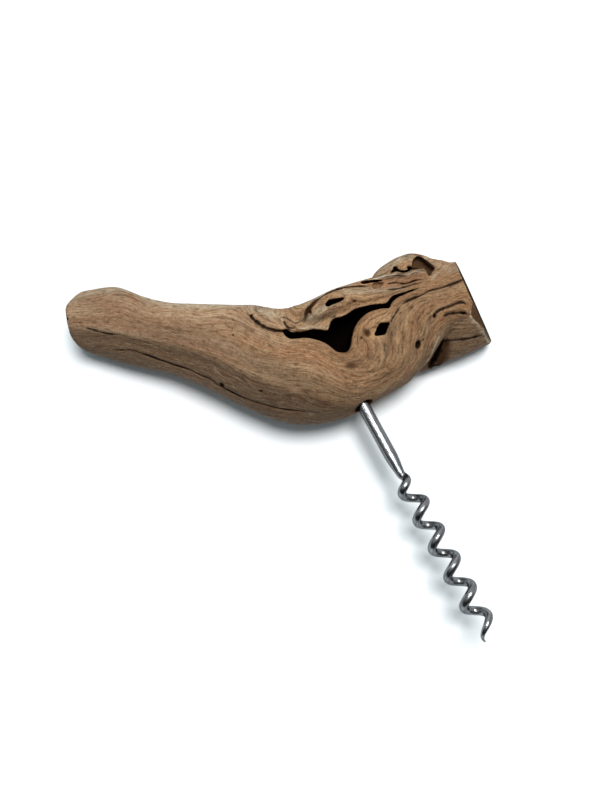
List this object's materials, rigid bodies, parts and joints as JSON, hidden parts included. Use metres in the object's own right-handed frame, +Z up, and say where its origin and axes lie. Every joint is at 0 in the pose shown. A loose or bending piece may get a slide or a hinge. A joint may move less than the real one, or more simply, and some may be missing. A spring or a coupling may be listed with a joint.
{
  "type": "straight-pull corkscrew",
  "caption": "Straight-pull corkscrew: a right-handed steel worm on a plain shank, set crosswise in a gnarled, bent handle of weathered vine wood with sawn ends.",
  "frame": {"origin": "on the screw's axis where it enters the wood", "axes": "-Y along the screw to its point, +X along the thicker limb of the handle, +Z up from the table that the corkscrew lies on"},
  "size_m": [0.1478, 0.1757, 0.0344],
  "materials": {
    "vine_wood": "dry, brushed and weathered, with open cracks and ridged grain",
    "steel": "polished, with fine drawing marks along the shank",
    "dark_resin": "set casting resin, dark and dull"
  },
  "bodies": {
    "root": {"handle": "vine_wood", "screw": "steel", "resin_bed": "dark_resin"}
  },
  "joints": []
}
